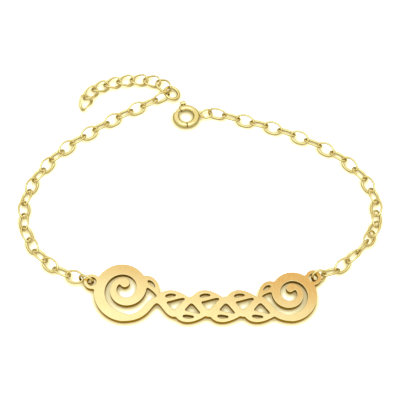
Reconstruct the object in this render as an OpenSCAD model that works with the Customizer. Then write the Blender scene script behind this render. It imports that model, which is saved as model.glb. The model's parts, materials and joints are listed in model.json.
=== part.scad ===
// Nameplate bracelet in gold-coloured metal, unfastened and lying on a surface.
// Millimetres, +Z up, z = 0 is the surface, and the origin is under the middle of the whole.
// The pierced plate lies along X at the front, and the two chains meet the clasp at the back.

/* [Loop] */
// Width of the loop as it lies
loop_w = 66; // [62:0.5:72]
// Depth of the loop as it lies, from the plate to the extender
loop_d = 52.5; // [48:0.5:60]

/* [Plate] */
// Width of the openwork, without its two ears
plate_w = 38.8; // [36:0.1:41]
// Height of the left scroll
plate_h = 10.7; // [9:0.1:12]
// Height of the right scroll
right_h = 9.2; // [8:0.1:11]
// Height of the vine between the scrolls
band_h = 5.7; // [5:0.1:6.6]
// Thickness of the plate
plate_t = 1.1; // [0.7:0.05:1.3]
// Widest part of a scroll's stroke
bold_w = 1.75; // [1.4:0.05:2]
// Width of the vine's stem
fine_w = 1.1; // [0.8:0.05:1.4]
// Width of a leaf
leaf_w = 1.9; // [1.5:0.05:2.2]
// Waves of the vine
waves = 4; // [3:1:5]
// Diameter of the hole in each ear
hole_d = 1.6; // [1.5:0.05:1.8]
// Metal left round that hole
ear_rim = 0.6; // [0.5:0.05:0.7]

/* [Rings] */
// Outer diameter of the two rings in the plate's ears
plate_ring_d = 2.9; // [2.8:0.05:3.3]
// Wire of those rings
plate_ring_wire = 0.45; // [0.4:0.01:0.5]
// Lean of the left ring's plane from the horizontal, in degrees
left_ring_lean = 84; // [75:1:88]
// Lean of the right ring's plane from the horizontal, in degrees
right_ring_lean = 64; // [58:1:75]
// Outer diameter of the ring that carries the extender
extender_ring_d = 3.3; // [3:0.05:3.6]
// Wire of that ring
extender_ring_wire = 0.55; // [0.45:0.01:0.6]

/* [Chain] */
// Length of a link over its wire
link_l = 3.7; // [3.5:0.05:4]
// Width of a link over its wire
link_w = 2.5; // [2.3:0.05:2.8]
// Wire of a link
link_wire = 0.4; // [0.34:0.01:0.44]
// Lean of each link to one side, and of the next one to the other, in degrees
link_lean = 37; // [33:1:42]
// Smallest gap between two loose links
link_gap = 0.1; // [0.1:0.01:0.14]

/* [Extender] */
// Number of links
extender_links = 8; // [5:1:8]
// Length of a link over its wire
extender_l = 3.6; // [3.4:0.05:3.8]
// Width of a link over its wire
extender_w = 2.45; // [2.3:0.05:2.7]
// Wire of a link
extender_wire = 0.38; // [0.32:0.01:0.4]

/* [Clasp] */
// Outer diameter of the spring ring
clasp_d = 5; // [4.8:0.1:6]
// Diameter of its tube
tube_d = 1.15; // [1.1:0.05:1.4]
// Wall of its tube
tube_wall = 0.2; // [0.15:0.01:0.25]
// Play of the tongue in the tube, all round
tongue_play = 0.06; // [0.05:0.01:0.1]
// Opening that the tongue closes, in degrees round the ring
mouth = 37; // [32:1:42]
// Travel of the tongue, in degrees round the ring
travel = 46; // [43:1:50]
// Width of the knob on the tongue
knob_w = 0.95; // [0.7:0.05:1.1]
// How far the knob stands out from the ring
knob_h = 0.95; // [0.7:0.05:1.2]
// Width of the loop on the clasp, over its wire
tail_w = 2.3; // [2.2:0.05:2.6]
// Wire of that loop
tail_wire = 0.4; // [0.34:0.01:0.45]

/* [Hidden] */
gold = [0.93, 0.76, 0.38];

// Places on the surface, chosen by hand for a loop of the first size here, and spread from the
// plate to the size asked for. The chains run through these points, in order.
DRAWN_LOOP = [66, 52.5];
PLATE_AT = [0.95, -26.16];
DRAWN_CLASP = [-2.6, 16.7];
DRAWN_RING = [-5.4, 21.92];
DRAWN_LEFT = [[-24.8, -16.3], [-28.9, -12.8], [-31.4, -8.2], [-32, -3.2], [-30.7, 1.7], [-28, 6.1],
    [-24.4, 10], [-19.2, 13.9], [-13.6, 17.5], [-9.2, 19.7]];
DRAWN_RIGHT = [[24.4, -15.9], [28.5, -12.1], [31.3, -8.2], [32.1, -3.6], [31.2, 1], [28.1, 5.5],
    [24, 8.9], [19.1, 11.6], [14.1, 13.8], [8.9, 15.4]];
function placed(p) = [p.x * loop_w / DRAWN_LOOP.x,
    PLATE_AT.y + (p.y - PLATE_AT.y) * loop_d / DRAWN_LOOP.y];
CLASP_AT = placed(DRAWN_CLASP);
EXTENDER_RING_AT = placed(DRAWN_RING);
LEFT_ROUTE = [for (p = DRAWN_LEFT) placed(p)];
RIGHT_ROUTE = [for (p = DRAWN_RIGHT) placed(p)];
// The extender's points are measured from its ring, and go on past its last link.
FROM_RING = [[-2.5, 2.48], [-5.2, 3.08], [-8.1, 3.08], [-10.9, 2.58], [-13.4, 1.68], [-15.3, 0.58],
    [-16.4, -1.22], [-16.6, -3.42], [-16.4, -6.4], [-16, -9.4]];
EXTENDER_ROUTE = [for (p = FROM_RING) EXTENDER_RING_AT + p];

function lerp(a, b, t) = a + (b - a) * t;
function unit(v) = v / norm(v);
function left_of(v) = [-v.y, v.x];
function aim(a) = [cos(a), sin(a)];
function flat(v) = [v.x, v.y];
function raise(v, z) = [v.x, v.y, z];
function sum(v, n) = n <= 0 ? 0 : v[n - 1] + sum(v, n - 1);

// The plate is drawn flat, with its lowest edge on y = 0, and then leans back on that edge,
// because the ring wires pass under its ears.
scroll_turn = 540;
scroll_shrink = 0.3;
scroll_steps = 54;
bead_share = 0.16;
ear_r = hole_d / 2 + ear_rim;
left_ear_angle = 13;
right_ear_angle = 36;
ear_sink = 0.5;
leaf_steps = 16;
vine_steps = 18;
corner_r = 0.2;
cut_past = 1;

// Play of each ring round the ear's rim, and how far outside that rim a ring's middle lies at least.
left_ring_play = 0.09;
right_ring_play = 0.19;
ring_reach = 0.274;
plate_ring_r = (plate_ring_d - plate_ring_wire) / 2;
plate_ring_in = plate_ring_d / 2 - plate_ring_wire;
function ring_z(lean) = plate_ring_r * sin(lean) + plate_ring_wire / 2;
function ear_lift(lean, play) = ring_z(lean)
    - sqrt(pow(plate_ring_in - play, 2) - pow(ring_reach, 2)) * sin(lean);

function scroll_share(a) = pow(scroll_shrink, (a + 90) / scroll_turn);
function scroll_w(h) = bold_w * h / plate_h;
function scroll_r(h) = (h - scroll_w(h)) / (1 + scroll_share(90));
function scroll_at(h, side) = let (r = scroll_r(h), w = scroll_w(h))
    [side * (plate_w / 2 - r * scroll_share(0) - w / 2), r + w / 2];
function ear_at(h, side, a) = let (r = scroll_r(h) * scroll_share(a) + scroll_w(h) * 0.45)
    scroll_at(h, side) + (r + ear_r - ear_sink) * [side * cos(a), sin(a)];
left_scroll = scroll_at(plate_h, -1);
right_scroll = scroll_at(right_h, 1);
left_ear = ear_at(plate_h, -1, left_ear_angle);
right_ear = ear_at(right_h, 1, right_ear_angle);
plate_tilt = asin(max(ear_lift(left_ring_lean, left_ring_play) / left_ear.y,
    ear_lift(right_ring_lean, right_ring_play) / right_ear.y));

vine_start = left_scroll.x + scroll_r(plate_h) / 2;
vine_end = right_scroll.x - scroll_r(right_h) / 2;
vine_swing = (band_h - 2 * fine_w) * 0.36;
function vine_at(a) = [lerp(vine_start, vine_end, a / 360 / waves), band_h / 2 - vine_swing * cos(a)];

function heading(p, i) = unit(p[min(i + 1, len(p) - 1)] - p[max(i - 1, 0)]);
function edge(p, w, side) =
    [for (i = [0:len(p) - 1]) p[i] + side * left_of(heading(p, i)) * w[i] / 2];
function reverse(p) = [for (i = [len(p) - 1:-1:0]) p[i]];
function curve(a, b, c, n) =
    [for (i = [0:n]) let (t = i / n, s = 1 - t) s * s * a + 2 * s * t * b + t * t * c];

module ribbon(p, w) {
    polygon(concat(edge(p, w, 1), reverse(edge(p, w, -1))));
}

// A stroke swells from w0 to w1 and thins to w2. A skew under 1 brings the widest part forward.
module stroke(p, w0, w1, w2, skew = 1) {
    n = len(p) - 1;
    ribbon(p, [for (i = [0:n]) let (t = i / n)
        lerp(w0, w2, t) + (w1 - (w0 + w2) / 2) * sin(180 * pow(t, skew))]);
    for (end = [[p[0], w0], [p[n], w2]]) translate(end[0]) circle(d = end[1], $fn = 24);
}

// A leaf bows from a to b, with a slit along its rib.
module leaf(a, b, bow, w) {
    n = leaf_steps;
    along = unit(b - a);
    p = curve(a, (a + b) / 2 + left_of(along) * bow * 2 - (b - a) * 0.12, b, n);
    slit = [for (i = [round(n * 0.24):round(n * 0.78)]) p[i]];
    slit_n = len(slit) - 1;
    difference() {
        ribbon(p, [for (i = [0:n]) w * sin(180 * pow(i / n, 0.8)) + 0.24 * w * pow(1 - i / n, 2)]);
        ribbon(slit, [for (i = [0:slit_n]) 0.36 * w * sin(180 * pow(i / slit_n, 0.7))]);
    }
}

// One scroll winds in from the bottom of the plate and ends in a bead.
module scroll(h, side) {
    n = scroll_steps;
    r = scroll_r(h);
    p = [for (i = [0:n]) let (a = lerp(-90, scroll_turn - 90, i / n)) r * scroll_share(a) * aim(a)];
    translate(scroll_at(h, side)) scale([side, 1]) {
        stroke(p, scroll_w(h) * 0.8, scroll_w(h) * 1.05, fine_w * 0.75, 0.6);
        translate(p[n] * 0.7) circle(r = r * bead_share, $fn = 36);
    }
}

module vine() {
    n = vine_steps * waves;
    foot = [0, bold_w * 0.42];
    stroke(concat(curve([left_scroll.x, foot.y], [vine_start - 0.6, foot.y], vine_at(40), 8),
        [for (i = [1:n - 1]) let (a = 360 * waves * i / n) if (a > 45 && a < 360 * waves - 45) vine_at(a)],
        curve(vine_at(360 * waves - 40), [vine_end + 0.6, foot.y], [right_scroll.x, foot.y], 8)),
        fine_w, fine_w * 1.15, fine_w);
    for (k = [1:waves - 1]) {
        top = 360 * k - 180;
        leaf(vine_at(top + 15), vine_at(top + 345) + [-0.2, 0.5], 0.7, leaf_w);
        leaf(vine_at(top + 195), vine_at(top + 525) + [0, -0.35], -0.5, leaf_w);
    }
}

module shoulders() {
    leaf(left_scroll + scroll_r(plate_h) * [0.5, 0.35], vine_at(200) + [0, 0.3], 0.9, leaf_w);
    leaf(right_scroll + scroll_r(right_h) * [-0.5, 0.3], vine_at(360 * waves - 200) + [0, 0.3],
        -0.8, leaf_w);
}

module openwork() {
    offset(r = -corner_r) offset(delta = corner_r) {
        scroll(plate_h, -1);
        scroll(right_h, 1);
        vine();
        shoulders();
        for (at = [left_ear, right_ear]) translate(at) circle(r = ear_r, $fn = 48);
    }
}

module nameplate() {
    color(gold) translate(raise(PLATE_AT, 0)) rotate([plate_tilt, 0, 0]) difference() {
        linear_extrude(plate_t) openwork();
        for (at = [left_ear, right_ear]) translate(raise(at, -cut_past))
            cylinder(d = hole_d, h = plate_t + 2 * cut_past, $fn = 48);
    }
}

function hole_middle(ear) = raise(PLATE_AT, 0)
    + [ear.x, ear.y * cos(plate_tilt) - plate_t / 2 * sin(plate_tilt),
        ear.y * sin(plate_tilt) + plate_t / 2 * cos(plate_tilt)];

// A ring in an ear rests on the surface with its plane leaning, and hangs out towards the chain.
// The ear's rim lies just inside the ring, so the rim's far corner sets how far out it hangs.
left_ring_aim = 161;
right_ring_aim = 18;
function ring_back(ear, lean, play) = let (
    low = (hole_middle(ear).z - plate_t / 2 - ring_z(lean)) / sin(lean),
    fit = plate_ring_in - play)
    sqrt(fit * fit - low * low);
function ring_aside(ear, lean) = (hole_middle(ear).z - ring_z(lean)) / tan(lean);
function ring_centre(ear, lean, a, side, play) = raise(flat(hole_middle(ear))
    + aim(a) * (hole_d / 2 + ring_back(ear, lean, play))
    - side * left_of(aim(a)) * ring_aside(ear, lean), ring_z(lean));
left_ring = ring_centre(left_ear, left_ring_lean, left_ring_aim, -1, left_ring_play);
right_ring = ring_centre(right_ear, right_ring_lean, right_ring_aim, 1, right_ring_play);

module ring(d, wire) {
    rotate_extrude($fn = 64) translate([(d - wire) / 2, 0]) circle(d = wire, $fn = 24);
}

module plate_ring_left() {
    color(gold) translate(left_ring) rotate([0, 0, left_ring_aim]) rotate([-left_ring_lean, 0, 0])
        ring(plate_ring_d, plate_ring_wire);
}

module plate_ring_right() {
    color(gold) translate(right_ring) rotate([0, 0, right_ring_aim]) rotate([right_ring_lean, 0, 0])
        ring(plate_ring_d, plate_ring_wire);
}

// A link is a closed tube of wire round an oval, drawn from its middle, its long direction and
// its width direction. A curb link's oval also waves up and down by twist.
link_stations = 16;
wire_sides = 6;
function oval(l, w, wire, twist, taper, a) = let (
    wide = (w - wire) / 2 * (1 - taper * cos(a)))
    [(l - wire) / 2 * cos(a), wide * sin(a), twist * sin(2 * a)];
function link_points(l, w, wire, twist, taper, frame) =
    [for (i = [0:link_stations - 1]) let (
        a = 360 * (i + 0.5) / link_stations,
        c = oval(l, w, wire, twist, taper, a),
        t = unit(oval(l, w, wire, twist, taper, a + 3) - oval(l, w, wire, twist, taper, a - 3)),
        e = unit([0, 0, 1] - t.z * t),
        f = cross(t, e))
        for (j = [0:wire_sides - 1]) let (
            b = 360 * j / wire_sides,
            p = c + (e * sin(b) + f * cos(b)) * wire / 2)
            frame[0] + frame[1] * p.x + frame[2] * p.y + frame[3] * p.z];
link_faces = [for (i = [0:link_stations - 1], j = [0:wire_sides - 1]) let (
    a = i * wire_sides + j,
    b = i * wire_sides + (j + 1) % wire_sides,
    c = (i + 1) % link_stations * wire_sides + j,
    d = (i + 1) % link_stations * wire_sides + (j + 1) % wire_sides)
    each [[a, b, c], [b, d, c]]];
function link_frame(from, to, lean) = let (
    x = unit(to - from),
    left = unit(cross([0, 0, 1], x)),
    up = cross(x, left),
    y = left * cos(lean) + up * sin(lean))
    [(from + to) / 2, x, y, cross(x, y)];

module link(l, w, wire, frame, twist = 0, taper = 0) {
    polyhedron(link_points(l, w, wire, twist, taper, frame), link_faces);
}

// A route is a smooth curve through its points, sampled finely and then walked by its length.
route_steps = 10;
function smooth(p) = concat([for (i = [0:len(p) - 2], j = [0:route_steps - 1]) let (
    a = p[max(i - 1, 0)], b = p[i], c = p[i + 1], d = p[min(i + 2, len(p) - 1)], t = j / route_steps)
    (2 * b + (c - a) * t + (2 * a - 5 * b + 4 * c - d) * t * t
        + (3 * b - a - 3 * c + d) * t * t * t) / 2],
    [p[len(p) - 1]]);
function step(p, i) = i + 1 < len(p) ? norm(p[i + 1] - p[i]) : 0;
function lengths(p) = [for (i = 0, s = 0; i < len(p); s = s + step(p, i), i = i + 1) s];
function total(s) = s[len(s) - 1];
function walk(p, s, at) = let (
    x = [for (i = [0:len(p) - 1]) [s[i], p[i].x]],
    y = [for (i = [0:len(p) - 1]) [s[i], p[i].y]])
    [for (a = at) [lookup(a, x), lookup(a, y)]];

// Joints are the points where one link hooks the next. Links bunch up round number at.
function shares(n, bunch, at, spread) =
    [for (k = [0:n - 1]) 1 - bunch * exp(-pow((k - at) / spread, 2))];
function joints(route, n, bunch, at, spread) = let (
    p = smooth(route), s = lengths(p), w = shares(n, bunch, at, spread))
    walk(p, s, [for (k = [0:n]) total(s) * sum(w, k) / sum(w, n)]);
// A bunch adds as many links as its bell-shaped share of the pitch takes out. Links come in pairs,
// so both ends of a chain hook on in the same way at any length.
function count(route, pitch, bunch, spread) =
    2 * ceil((total(lengths(smooth(route))) / pitch + bunch * spread * sqrt(PI)) / 2);

pitch = link_l - 2 * link_wire - link_gap;
hook = (link_l - link_wire - pitch) / 2;
function rise(lean) = (link_w - link_wire) / 2 * abs(sin(lean)) + link_wire / 2;
function seat_out(ring_in, wire) = ring_in - wire / 2 - link_gap + hook;

// The ends of the chains hook the rings and the clasp's loop.
left_drop = 8;
right_drop = 0;
function ring_seat(centre, a, drop) = centre
    + seat_out(plate_ring_in, link_wire) * raise(aim(a) * cos(drop), -sin(drop));
left_start = ring_seat(left_ring, left_ring_aim, left_drop);
right_start = ring_seat(right_ring, right_ring_aim, right_drop);
extender_ring_in = extender_ring_d / 2 - extender_ring_wire;
extender_ring_tilt = 21;
extender_ring_up = 190;
extender_ring = raise(EXTENDER_RING_AT,
    (extender_ring_d - extender_ring_wire) / 2 * sin(extender_ring_tilt) + extender_ring_wire / 2);
function extender_ring_seat(a, out) = extender_ring
    + out * raise(aim(a), tan(extender_ring_tilt) * cos(a - extender_ring_up));
left_hook_at = 216;
left_end = extender_ring_seat(left_hook_at, seat_out(extender_ring_in, link_wire));

left_route = concat([flat(left_start)], LEFT_ROUTE, [flat(left_end)]);
left_slack = 0.95;
left_count = count(left_route, pitch * left_slack, 0, 1);
left_joints = joints(left_route, left_count, 0, 0, 1);
left_first_lean = 26;
left_last_lean = 75;
lean_spread = 4;
function vary(k) = lean_spread * sin(137 * k);
left_leans = [for (k = [0:left_count - 1]) (k % 2 == 0 ? -1 : 1)
    * (k == 0 ? left_first_lean : k == left_count - 1 ? left_last_lean : link_lean + vary(k))];

// Near the plate one link of the right chain stands upright, and there the leaning changes sides.
upright = 3;
beside_upright_lean = 38;
right_first_lean = 41;
right_last_lean = 66;
right_hook_aim = 12;
right_hook_rise = 0.05;
tail_in = tail_w / 2 - tail_wire;
tail_foot_at = 16;
tail_aim = -8;
tail_rise = 10.5;
tail_l = 1.6;
tail_foot = (clasp_d - tube_wall) / 2 * aim(tail_foot_at);
tail_middle = raise(CLASP_AT + tail_foot + aim(tail_aim) * tail_l * cos(tail_rise),
    tube_d / 2 + tail_l * sin(tail_rise));
right_end = tail_middle + raise(aim(right_hook_aim) * seat_out(tail_in, link_wire), right_hook_rise);
right_route = concat([flat(right_start)], RIGHT_ROUTE, [flat(right_end)]);
right_bunch = 0.2;
right_spread = 2.6;
right_bunch_at = 5;
right_count = count(right_route, pitch, right_bunch, right_spread);
right_joints = joints(right_route, right_count, right_bunch, right_bunch_at, right_spread);
right_leans = [for (k = [0:right_count - 1]) k == upright ? 90
    : (k % 2 == 0 ? -1 : 1) * (k < upright ? 1 : -1)
    * (k == 0 ? right_first_lean : abs(k - upright) == 1 ? beside_upright_lean
        : k == right_count - 1 ? right_last_lean : link_lean + vary(k))];

// Each joint is as high as the higher of its two links needs, so no link goes under the surface.
function joint_heights(leans, first, last) = [for (k = [0:len(leans)])
    k == 0 ? max(first, rise(leans[0])) : k == len(leans) ? max(last, rise(leans[k - 1]))
    : max(rise(leans[k - 1]), rise(leans[k]))];

module chain(joints, leans, first, last) {
    z = joint_heights(leans, first, last);
    for (k = [0:len(leans) - 1]) {
        from = raise(joints[k], z[k]);
        to = raise(joints[k + 1], z[k + 1]);
        link(link_l, link_w, link_wire, link_frame(from, to, leans[k]));
    }
}

module chain_left() {
    color(gold) chain(left_joints, left_leans, left_start.z, left_end.z);
}

module chain_right() {
    color(gold) chain(right_joints, right_leans, right_start.z, right_end.z);
}

module extender_ring() {
    color(gold) translate(extender_ring) rotate([0, -extender_ring_tilt, extender_ring_up])
        ring(extender_ring_d, extender_ring_wire);
}

// Curb links lie flat, each twisted so that it passes over and under its neighbours.
curb_twist = 0.43;
curb_leans = [-22, -14, -7, -3];
function curb_lean(k) = k < len(curb_leans) ? curb_leans[k] : 0;
curb_side = 0.6;
end_taper = 0.3;
curb_at = 119;
curb_slack = 0.945;
curb_bunch = 0.08;
curb_bunch_at = 5.6;
curb_spread = 1.2;
curb_pitch = extender_l - 2 * extender_wire - link_gap;
curb_hook = (extender_l - extender_wire - curb_pitch) / 2;
function curb_rise(k) = (extender_w - extender_wire) / 2 * abs(sin(curb_lean(k))) * curb_side
    + curb_twist + extender_wire / 2;
extender_start = extender_ring_seat(curb_at, extender_ring_in - extender_wire / 2 - link_gap + curb_hook);
extender_route = concat([flat(extender_start)], EXTENDER_ROUTE);
extender_joints = let (p = smooth(extender_route),
    w = shares(extender_links, curb_bunch, curb_bunch_at, curb_spread))
    walk(p, lengths(p), [for (k = [0:extender_links]) curb_pitch * curb_slack * sum(w, k)]);

module extender_chain() {
    color(gold) for (k = [0:extender_links - 1]) {
        from = raise(extender_joints[k], k == 0 ? extender_start.z : max(curb_rise(k - 1), curb_rise(k)));
        to = raise(extender_joints[k + 1], max(curb_rise(k), curb_rise(k + 1)));
        taper = k == extender_links - 1 ? end_taper : 0;
        link(extender_l, extender_w, extender_wire, link_frame(from, to, curb_lean(k)), curb_twist, taper);
    }
}

// The clasp lies flat. Angles run round it from +X, counter-clockwise seen from above.
tube_r = (clasp_d - tube_d) / 2;
bore_d = tube_d - 2 * tube_wall;
tongue_d = bore_d - 2 * tongue_play;
mouth_start = 127;
mouth_end = mouth_start + mouth;
knob_at = mouth_start - 25;
tongue_end = mouth_start + travel;
tongue_tail = 12;
stem_d = 0.3;
slot_play = 0.08;
seam_at = 275;
seam_w = 0.16;
seam_depth = 0.1;
solder = 0.08;
leg_play = 0.02;
knob_d = knob_h - 0.2;

module arc(r, d, from, to) {
    rotate([0, 0, from]) rotate_extrude(angle = to - from, $fn = 96)
        translate([r, 0]) circle(d = d, $fn = 32);
}

module tail() {
    loop_r = (tail_w - tail_wire) / 2;
    lean = asin(loop_r / tail_l);
    translate(raise(tail_foot, 0)) rotate([0, -tail_rise, tail_aim]) {
        translate([tail_l, 0, 0]) arc(loop_r, tail_wire, -90 - lean, 90 + lean);
        for (side = [-1, 1]) rotate([0, 90, side * lean])
            cylinder(d = tail_wire - leg_play, h = tail_l * cos(lean) + solder, $fn = 32);
    }
}

module clasp_body() {
    color(gold) translate(raise(CLASP_AT, tube_d / 2)) difference() {
        union() {
            arc(tube_r, tube_d, mouth_end, mouth_start + 360);
            tail();
        }
        arc(tube_r, bore_d, mouth_end - 1, mouth_start + 361);
        slot();
        rotate([0, 0, seam_at]) translate([tube_r, 0, tube_d / 2])
            cube([tube_d * 1.2, seam_w, seam_depth * 2], center = true);
    }
}

// The knob's stem slides in a slot along the outside of the tube.
module slot() {
    half = (stem_d / 2 + slot_play) / tube_r * 180 / PI;
    from = knob_at - travel - half;
    rotate([0, 0, from]) rotate_extrude(angle = mouth_start - from + 1, $fn = 96)
        translate([tube_r, -stem_d / 2 - slot_play]) square([tube_d, stem_d + 2 * slot_play]);
}

module clasp_trigger() {
    color(gold) translate(raise(CLASP_AT, tube_d / 2)) {
        arc(tube_r, tongue_d, knob_at - tongue_tail, tongue_end);
        rotate([0, 0, knob_at]) {
            translate([tube_r, 0, 0]) rotate([0, 90, 0])
                cylinder(d = stem_d, h = tube_d / 2 + knob_h / 2, $fn = 24);
            translate([clasp_d / 2 + knob_h - knob_d / 2, 0, 0]) knob();
        }
    }
}

module knob() {
    rotate([90, 0, 0]) translate([0, 0, -knob_w / 2]) cylinder(d = knob_d, h = knob_w, $fn = 32);
}

nameplate();
plate_ring_left();
plate_ring_right();
chain_left();
chain_right();
clasp_body();
clasp_trigger();
extender_ring();
extender_chain();
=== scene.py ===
import json
import math

import bmesh
import bpy
import numpy as np
from bpy.props import FloatProperty, FloatVectorProperty, IntProperty, PointerProperty
from bpy.types import NodeSocket, Operator, Panel, PropertyGroup, Scene
from mathutils import Matrix, Vector
from mathutils.geometry import delaunay_2d_cdt


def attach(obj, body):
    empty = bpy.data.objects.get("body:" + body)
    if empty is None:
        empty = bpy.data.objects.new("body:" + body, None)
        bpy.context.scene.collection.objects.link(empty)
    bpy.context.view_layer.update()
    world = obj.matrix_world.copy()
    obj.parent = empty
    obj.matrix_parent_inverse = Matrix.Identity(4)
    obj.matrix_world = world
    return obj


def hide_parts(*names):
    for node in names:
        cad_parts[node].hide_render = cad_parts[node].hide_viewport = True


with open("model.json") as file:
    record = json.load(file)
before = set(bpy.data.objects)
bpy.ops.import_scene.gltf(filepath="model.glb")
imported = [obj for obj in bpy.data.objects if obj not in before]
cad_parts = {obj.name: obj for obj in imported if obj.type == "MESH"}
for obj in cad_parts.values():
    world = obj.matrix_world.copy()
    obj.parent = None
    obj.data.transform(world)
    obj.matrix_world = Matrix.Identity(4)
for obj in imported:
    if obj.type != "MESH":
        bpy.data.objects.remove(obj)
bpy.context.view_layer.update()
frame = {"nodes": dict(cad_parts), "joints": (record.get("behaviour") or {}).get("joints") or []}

bl_info = {
    "name": "Nameplate Bracelet",
    "version": (1, 0, 0),
    "blender": (4, 5, 0),
    "location": "View3D > Sidebar > Bracelet",
    "description": "Dresses the frame of a gold nameplate bracelet and sets up its studio",
    "category": "Object",
}

MM = 0.001
ACROSS, UP = Vector((1, 0, 0)), Vector((0, 0, 1))
MERGE = 0.0002 * MM  # Corners nearer than this are one corner.
SHARP = math.radians(40)  # Edges that bend more than this stay sharp.

# Plate
UPWARD = 0.9  # Faces whose normal rises more than this can be the plate's top.
SAME_WAY = 0.9999  # Directions whose product is above this are the same.
SHORTEST = 0.02 * MM  # Outline points nearer than this to the one before are left out.
FEWEST = 8  # Points of the smallest outline.
SOFT_SPAN = 3  # A softened corner reaches this many softening widths to each side.
FILL_BUT_HOLES = 2  # Fills inside the outlines, but not where they leave a hole.
FILL_NEAR = 1e-5  # Points nearer than this, in millimetres, are one to the fill.

# Clasp
TUBE_STEPS, TUBE_SIDES = 128, 40
RIM_STEPS = 3  # Steps over the rounded rim of the tube's mouth.
SEAM_CLEAR = 1.3  # No other ring of corners comes nearer to the seam, by its half width.
SLOT_STEPS = 40
SLOT_PAST = math.radians(2)  # How far the slot runs out past the mouth's edge.
WIRE_SIDES = 20  # Sides of the loop's wire, its solder and the stem.
TAIL_STRAIGHT, TAIL_BEND = 8, 40  # Steps along a side of the loop and round its end.
SOLDER = ((-0.2, 0.0), (-0.2, 1.5), (0.5, 1.45), (1.1, 1.15), (1.6, 0.6), (1.75, 0.0))
# The drop at the loop's foot: distance and radius, by the radius of the wire.
TONGUE_STEPS, TONGUE_SIDES = 64, 28
TONGUE_PAST = math.radians(12)  # How far the tongue goes on behind the knob.
TIP_STEPS, TIP_LEAST = 3, 0.45  # Steps of its blunt ends, and their least radius by its own.
KNOB_SIDES, KNOB_STEPS = 36, 4  # Sides of the knob, and steps over its rounded rims.

# Gold
NOISE_LOW, NOISE_HIGH = 0.3, 0.7  # Nearly all of a noise texture's values lie between these.
MARKS_DRAWN = (1.0, 0.25, 1.0)  # Makes the marks four times as long from front to back.
MARKS_TURN = (0.0, 0.0, 0.5)  # Keeps the noise's own grid from lying along the plate.
MARKS_DETAIL, MARKS_ROUGH, TONE_DETAIL = 3.0, 0.6, 2.0
# Painted shade in hollows and crossings starts and is full at these shares of open sky.
HOLLOW_STARTS, HOLLOW_FULL = 0.85, 0.25  # Share of open sky at a hollow's edge and deep in it.
WALL_STARTS, WALL_FULL = 0.75, 0.3  # How level the metal is at a sawn wall's edge and on it.
HOLLOW_RAYS, FLOOR_RAYS = 8, 16  # Rays that look for metal near a place.

# Floor, room and camera
# Near the metal the floor gets a painted warm glow and a painted contact shadow; these shares of
# open sky set where each starts and where it is full.
GLOW_STARTS, GLOW_FULL = 1.0, 0.85  # Share of open sky at the edge of the floor's glow and in it.
CONTACT_STARTS, CONTACT_FULL = 0.88, 0.5  # The same for the tint right at the metal.
BLACK = (0.0, 0.0, 0.0, 1.0)
WARM_FADE = 1.4  # The warm patch has faded out at this many times its reach.
SENSOR = 36.0  # Width of the camera's sensor in millimetres.
SEEN_FROM, SEEN_TO = 0.01, 10.0  # Distances that the camera sees, in metres.


# Settings

def length(name, description, mm, high=10.0):
    return FloatProperty(name=name, description=description, default=mm * MM, min=0.01 * MM,
                         max=high * MM, unit="LENGTH", precision=5)


def colour(name, description, rgb):
    return FloatVectorProperty(name=name, description=description, default=rgb, size=3, min=0.0,
                               max=1.0, subtype="COLOR")


def share(name, description, default, high=1.0):
    return FloatProperty(name=name, description=description, default=default, min=0.0, max=high,
                         subtype="FACTOR")


def turn(name, description, degrees):
    return FloatProperty(name=name, description=description, default=math.radians(degrees),
                         subtype="ANGLE")


def strength(name, description, default, high=10.0):
    return FloatProperty(name=name, description=description, default=default, min=0.0, max=high)


def number(name, description, default, low, high):
    return IntProperty(name=name, description=description, default=default, min=low, max=high)


class PlateSettings(PropertyGroup):
    edge_round: length("Edge rounding", "Radius of the polished rim of the cut plate", 0.08)
    rim_steps: number("Rim steps", "Steps over the rounded rim", 4, 1, 16)
    outline_step: length("Outline step", "Spacing of the points along the cut outline", 0.1)
    fine_steps: number("Fine steps", "Parts of a step while corners are softened", 4, 1, 16)
    cut_soften: length("Cut softening", "How far the cutting rounds the sharp corners", 0.055)
    corner: turn("Corner", "A turn of the outline above this stays a corner", 28)
    colour: colour("Face", "Gold of the polished faces", (1.0, 0.78, 0.37))
    edge_colour: colour("Edge tint", "Tint of the light that grazes it", (1.0, 0.82, 0.42))
    roughness: share("Roughness", "Roughness of the polished faces", 0.13)
    # The cut wall gold is painted shade on the sawn walls, standing in for the shaded floor they
    # mirror; the wall roughness is their sawn finish.
    wall_shade_colour: colour("Cut wall", "Darker gold of the sawn walls", (0.6, 0.34, 0.03))
    wall_roughness: share("Wall roughness", "What sawing adds to the roughness", 0.15)


class RingSettings(PropertyGroup):
    plate_d: length("Plate ring", "Outer diameter of the rings in the plate's ears", 2.9)
    plate_wire: length("Plate ring wire", "Wire of those rings", 0.45)
    extender_d: length("Extender ring", "Outer diameter of the ring with the extender", 3.3)
    extender_wire: length("Extender ring wire", "Wire of that ring", 0.55)
    stations: number("Stations", "Steps round a ring", 64, 8, 256)
    sides: number("Sides", "Sides of a ring's wire", 24, 5, 64)


class LinkSettings(PropertyGroup):
    long: length("Length", "Length of a link over its wire", 3.7)
    wide: length("Width", "Width of a link over its wire", 2.5)
    wire: length("Wire", "Wire of a link", 0.4)
    stations: number("Stations", "Steps round a link", 44, 8, 128)
    sides: number("Sides", "Sides of a link's wire", 16, 5, 64)
    colour: colour("Gold", "Gold of the links and rings", (0.96, 0.79, 0.35))
    edge_colour: colour("Edge tint", "Tint of the light that grazes it", (0.15, 0.1, 0.02))
    roughness: share("Roughness", "Roughness of the links and rings", 0.15)


class CurbSettings(PropertyGroup):
    long: length("Length", "Length of a curb link over its wire", 3.6)
    wide: length("Width", "Width of a curb link over its wire", 2.45)
    wire: length("Wire", "Wire of a curb link", 0.38)
    twist: length("Twist", "How far a curb link waves out of its plane", 0.43)
    end_taper: share("End taper", "How much the last link narrows towards its end", 0.3)


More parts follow.
